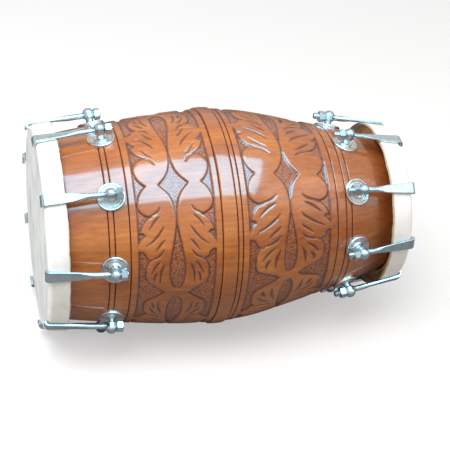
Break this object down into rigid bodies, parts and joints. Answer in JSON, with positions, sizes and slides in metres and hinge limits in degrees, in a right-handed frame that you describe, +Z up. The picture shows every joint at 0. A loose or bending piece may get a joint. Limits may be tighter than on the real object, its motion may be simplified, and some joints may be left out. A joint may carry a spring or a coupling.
{
  "type": "dholak",
  "caption": "Two-headed barrel drum with a carved, varnished wooden shell and skin heads tuned by threaded hook bolts.",
  "frame": {"origin": "on the floor, under the middle of the drum as it lies on its belly band", "axes": "+X along the drum's axis from the wide bass head to the narrow treble head, +Z up through the top bass lug"},
  "size_m": [0.4696, 0.2894, 0.2856],
  "materials": {
    "varnished_wood": "glossy varnish",
    "rawhide": "dry scraped skin",
    "hoop_wood": "raw bent wood",
    "tuning_paste": "dried paste",
    "plated_steel": "bright plating",
    "pressed_steel": "bright pressed",
    "zinc_steel": "dull zinc"
  },
  "bodies": {
    "drum": {"shell": "varnished_wood", "bass_tuning_paste": "tuning_paste", "bass_head_skin": "rawhide", "bass_hoop": "hoop_wood", "bass_eyebolts": "plated_steel", "bass_cup_washers": "pressed_steel", "bass_inner_washers": "zinc_steel", "bass_inner_nuts": "zinc_steel", "treble_head_skin": "rawhide", "treble_hoop": "hoop_wood", "treble_eyebolts": "plated_steel", "treble_cup_washers": "pressed_steel", "treble_inner_washers": "zinc_steel", "treble_inner_nuts": "zinc_steel"},
    "bass_hook_1": {"bass_hook_1": "plated_steel"},
    "bass_nut_1": {"bass_nut_1": "plated_steel"},
    "bass_hook_2": {"bass_hook_2": "plated_steel"},
    "bass_nut_2": {"bass_nut_2": "plated_steel"},
    "bass_hook_3": {"bass_hook_3": "plated_steel"},
    "bass_nut_3": {"bass_nut_3": "plated_steel"},
    "bass_hook_4": {"bass_hook_4": "plated_steel"},
    "bass_nut_4": {"bass_nut_4": "plated_steel"},
    "bass_hook_5": {"bass_hook_5": "plated_steel"},
    "bass_nut_5": {"bass_nut_5": "plated_steel"},
    "bass_hook_6": {"bass_hook_6": "plated_steel"},
    "bass_nut_6": {"bass_nut_6": "plated_steel"},
    "bass_hook_7": {"bass_hook_7": "plated_steel"},
    "bass_nut_7": {"bass_nut_7": "plated_steel"},
    "bass_hook_8": {"bass_hook_8": "plated_steel"},
    "bass_nut_8": {"bass_nut_8": "plated_steel"},
    "bass_hook_9": {"bass_hook_9": "plated_steel"},
    "bass_nut_9": {"bass_nut_9": "plated_steel"},
    "treble_hook_1": {"treble_hook_1": "plated_steel"},
    "treble_nut_1": {"treble_nut_1": "plated_steel"},
    "treble_hook_2": {"treble_hook_2": "plated_steel"},
    "treble_nut_2": {"treble_nut_2": "plated_steel"},
    "treble_hook_3": {"treble_hook_3": "plated_steel"},
    "treble_nut_3": {"treble_nut_3": "plated_steel"},
    "treble_hook_4": {"treble_hook_4": "plated_steel"},
    "treble_nut_4": {"treble_nut_4": "plated_steel"},
    "treble_hook_5": {"treble_hook_5": "plated_steel"},
    "treble_nut_5": {"treble_nut_5": "plated_steel"},
    "treble_hook_6": {"treble_hook_6": "plated_steel"},
    "treble_nut_6": {"treble_nut_6": "plated_steel"},
    "treble_hook_7": {"treble_hook_7": "plated_steel"},
    "treble_nut_7": {"treble_nut_7": "plated_steel"},
    "treble_hook_8": {"treble_hook_8": "plated_steel"},
    "treble_nut_8": {"treble_nut_8": "plated_steel"},
    "treble_hook_9": {"treble_hook_9": "plated_steel"},
    "treble_nut_9": {"treble_nut_9": "plated_steel"}
  },
  "joints": [
    {"name": "bass_hook_1_draw", "type": "slide", "parent": "drum", "child": "bass_hook_1", "axis": [-0.9958, 0, -0.092], "range_m": [0, 0.005]},
    {"name": "bass_nut_1_turn", "type": "hinge", "parent": "drum", "child": "bass_nut_1", "pos_m": [-0.15336, 0, 0.27637], "axis": [0.9958, 0, 0.092], "range_deg": [0, 1440.1]},
    {"name": "bass_hook_2_draw", "type": "slide", "parent": "drum", "child": "bass_hook_2", "axis": [-0.9958, 0.0591, -0.0704], "range_m": [0, 0.005]},
    {"name": "bass_nut_2_turn", "type": "hinge", "parent": "drum", "child": "bass_nut_2", "pos_m": [-0.15336, -0.08843, 0.24419], "axis": [0.9958, -0.0591, 0.0704], "range_deg": [0, 1440.1]},
    {"name": "bass_hook_3_draw", "type": "slide", "parent": "drum", "child": "bass_hook_3", "axis": [-0.9958, 0.0906, -0.016], "range_m": [0, 0.005]},
    {"name": "bass_nut_3_turn", "type": "hinge", "parent": "drum", "child": "bass_nut_3", "pos_m": [-0.15336, -0.13548, 0.16269], "axis": [0.9958, -0.0906, 0.016], "range_deg": [0, 1440.1]},
    {"name": "bass_hook_4_draw", "type": "slide", "parent": "drum", "child": "bass_hook_4", "axis": [-0.9958, 0.0796, 0.046], "range_m": [0, 0.005]},
    {"name": "bass_nut_4_turn", "type": "hinge", "parent": "drum", "child": "bass_nut_4", "pos_m": [-0.15336, -0.11914, 0.07001], "axis": [0.9958, -0.0796, -0.046], "range_deg": [0, 1440.1]},
    {"name": "bass_hook_5_draw", "type": "slide", "parent": "drum", "child": "bass_hook_5", "axis": [-0.9958, 0.0315, 0.0864], "range_m": [0, 0.005]},
    {"name": "bass_nut_5_turn", "type": "hinge", "parent": "drum", "child": "bass_nut_5", "pos_m": [-0.15336, -0.04705, 0.00952], "axis": [0.9958, -0.0315, -0.0864], "range_deg": [0, 1440.1]},
    {"name": "bass_hook_6_draw", "type": "slide", "parent": "drum", "child": "bass_hook_6", "axis": [-0.9958, -0.0315, 0.0864], "range_m": [0, 0.005]},
    {"name": "bass_nut_6_turn", "type": "hinge", "parent": "drum", "child": "bass_nut_6", "pos_m": [-0.15336, 0.04705, 0.00952], "axis": [0.9958, 0.0315, -0.0864], "range_deg": [0, 1440.1]},
    {"name": "bass_hook_7_draw", "type": "slide", "parent": "drum", "child": "bass_hook_7", "axis": [-0.9958, -0.0796, 0.046], "range_m": [0, 0.005]},
    {"name": "bass_nut_7_turn", "type": "hinge", "parent": "drum", "child": "bass_nut_7", "pos_m": [-0.15336, 0.11914, 0.07001], "axis": [0.9958, 0.0796, -0.046], "range_deg": [0, 1440.1]},
    {"name": "bass_hook_8_draw", "type": "slide", "parent": "drum", "child": "bass_hook_8", "axis": [-0.9958, -0.0906, -0.016], "range_m": [0, 0.005]},
    {"name": "bass_nut_8_turn", "type": "hinge", "parent": "drum", "child": "bass_nut_8", "pos_m": [-0.15336, 0.13548, 0.16269], "axis": [0.9958, 0.0906, 0.016], "range_deg": [0, 1440.1]},
    {"name": "bass_hook_9_draw", "type": "slide", "parent": "drum", "child": "bass_hook_9", "axis": [-0.9958, -0.0591, -0.0704], "range_m": [0, 0.005]},
    {"name": "bass_nut_9_turn", "type": "hinge", "parent": "drum", "child": "bass_nut_9", "pos_m": [-0.15336, 0.08843, 0.24419], "axis": [0.9958, 0.0591, 0.0704], "range_deg": [0, 1440.1]},
    {"name": "treble_hook_1_draw", "type": "slide", "parent": "drum", "child": "treble_hook_1", "axis": [0.9866, 0.0157, -0.1626], "range_m": [0, 0.01]},
    {"name": "treble_nut_1_turn", "type": "hinge", "parent": "drum", "child": "treble_nut_1", "pos_m": [0.16054, -0.01113, 0.25442], "axis": [-0.9866, -0.0157, 0.1626], "range_deg": [0, 2880.1]},
    {"name": "treble_hook_2_draw", "type": "slide", "parent": "drum", "child": "treble_hook_2", "axis": [0.9866, 0.1165, -0.1145], "range_m": [0, 0.01]},
    {"name": "treble_nut_2_turn", "type": "hinge", "parent": "drum", "child": "treble_nut_2", "pos_m": [0.16054, -0.08285, 0.22022], "axis": [-0.9866, -0.1165, 0.1145], "range_deg": [0, 2880.1]},
    {"name": "treble_hook_3_draw", "type": "slide", "parent": "drum", "child": "treble_hook_3", "axis": [0.9866, 0.1628, -0.0128], "range_m": [0, 0.01]},
    {"name": "treble_nut_3_turn", "type": "hinge", "parent": "drum", "child": "treble_nut_3", "pos_m": [0.16054, -0.1158, 0.14791], "axis": [-0.9866, -0.1628, 0.0128], "range_deg": [0, 2880.1]},
    {"name": "treble_hook_4_draw", "type": "slide", "parent": "drum", "child": "treble_hook_4", "axis": [0.9866, 0.133, 0.0949], "range_m": [0, 0.01]},
    {"name": "treble_nut_4_turn", "type": "hinge", "parent": "drum", "child": "treble_nut_4", "pos_m": [0.16054, -0.09457, 0.07135], "axis": [-0.9866, -0.133, -0.0949], "range_deg": [0, 2880.1]},
    {"name": "treble_hook_5_draw", "type": "slide", "parent": "drum", "child": "treble_hook_5", "axis": [0.9866, 0.0409, 0.1581], "range_m": [0, 0.01]},
    {"name": "treble_nut_5_turn", "type": "hinge", "parent": "drum", "child": "treble_nut_5", "pos_m": [0.16054, -0.02908, 0.02634], "axis": [-0.9866, -0.0409, -0.1581], "range_deg": [0, 2880.1]},
    {"name": "treble_hook_6_draw", "type": "slide", "parent": "drum", "child": "treble_hook_6", "axis": [0.9866, -0.0703, 0.1474], "range_m": [0, 0.01]},
    {"name": "treble_nut_6_turn", "type": "hinge", "parent": "drum", "child": "treble_nut_6", "pos_m": [0.16054, 0.05001, 0.03396], "axis": [-0.9866, 0.0703, -0.1474], "range_deg": [0, 2880.1]},
    {"name": "treble_hook_7_draw", "type": "slide", "parent": "drum", "child": "treble_hook_7", "axis": [0.9866, -0.1486, 0.0677], "range_m": [0, 0.01]},
    {"name": "treble_nut_7_turn", "type": "hinge", "parent": "drum", "child": "treble_nut_7", "pos_m": [0.16054, 0.1057, 0.09063], "axis": [-0.9866, 0.1486, -0.0677], "range_deg": [0, 2880.1]},
    {"name": "treble_hook_8_draw", "type": "slide", "parent": "drum", "child": "treble_hook_8", "axis": [0.9866, -0.1574, -0.0437], "range_m": [0, 0.01]},
    {"name": "treble_nut_8_turn", "type": "hinge", "parent": "drum", "child": "treble_nut_8", "pos_m": [0.16054, 0.11193, 0.16984], "axis": [-0.9866, 0.1574, 0.0437], "range_deg": [0, 2880.1]},
    {"name": "treble_hook_9_draw", "type": "slide", "parent": "drum", "child": "treble_hook_9", "axis": [0.9866, -0.0925, -0.1346], "range_m": [0, 0.01]},
    {"name": "treble_nut_9_turn", "type": "hinge", "parent": "drum", "child": "treble_nut_9", "pos_m": [0.16054, 0.06579, 0.23453], "axis": [-0.9866, 0.0925, 0.1346], "range_deg": [0, 2880.1]}
  ],
  "couplings": [
    {"joint": "bass_nut_1_turn", "follows": "bass_hook_1_draw", "rad_per_m": 5026.5},
    {"joint": "bass_nut_2_turn", "follows": "bass_hook_2_draw", "rad_per_m": 5026.5},
    {"joint": "bass_nut_3_turn", "follows": "bass_hook_3_draw", "rad_per_m": 5026.5},
    {"joint": "bass_nut_4_turn", "follows": "bass_hook_4_draw", "rad_per_m": 5026.5},
    {"joint": "bass_nut_5_turn", "follows": "bass_hook_5_draw", "rad_per_m": 5026.5},
    {"joint": "bass_nut_6_turn", "follows": "bass_hook_6_draw", "rad_per_m": 5026.5},
    {"joint": "bass_nut_7_turn", "follows": "bass_hook_7_draw", "rad_per_m": 5026.5},
    {"joint": "bass_nut_8_turn", "follows": "bass_hook_8_draw", "rad_per_m": 5026.5},
    {"joint": "bass_nut_9_turn", "follows": "bass_hook_9_draw", "rad_per_m": 5026.5},
    {"joint": "treble_nut_1_turn", "follows": "treble_hook_1_draw", "rad_per_m": 5026.5},
    {"joint": "treble_nut_2_turn", "follows": "treble_hook_2_draw", "rad_per_m": 5026.5},
    {"joint": "treble_nut_3_turn", "follows": "treble_hook_3_draw", "rad_per_m": 5026.5},
    {"joint": "treble_nut_4_turn", "follows": "treble_hook_4_draw", "rad_per_m": 5026.5},
    {"joint": "treble_nut_5_turn", "follows": "treble_hook_5_draw", "rad_per_m": 5026.5},
    {"joint": "treble_nut_6_turn", "follows": "treble_hook_6_draw", "rad_per_m": 5026.5},
    {"joint": "treble_nut_7_turn", "follows": "treble_hook_7_draw", "rad_per_m": 5026.5},
    {"joint": "treble_nut_8_turn", "follows": "treble_hook_8_draw", "rad_per_m": 5026.5},
    {"joint": "treble_nut_9_turn", "follows": "treble_hook_9_draw", "rad_per_m": 5026.5}
  ]
}
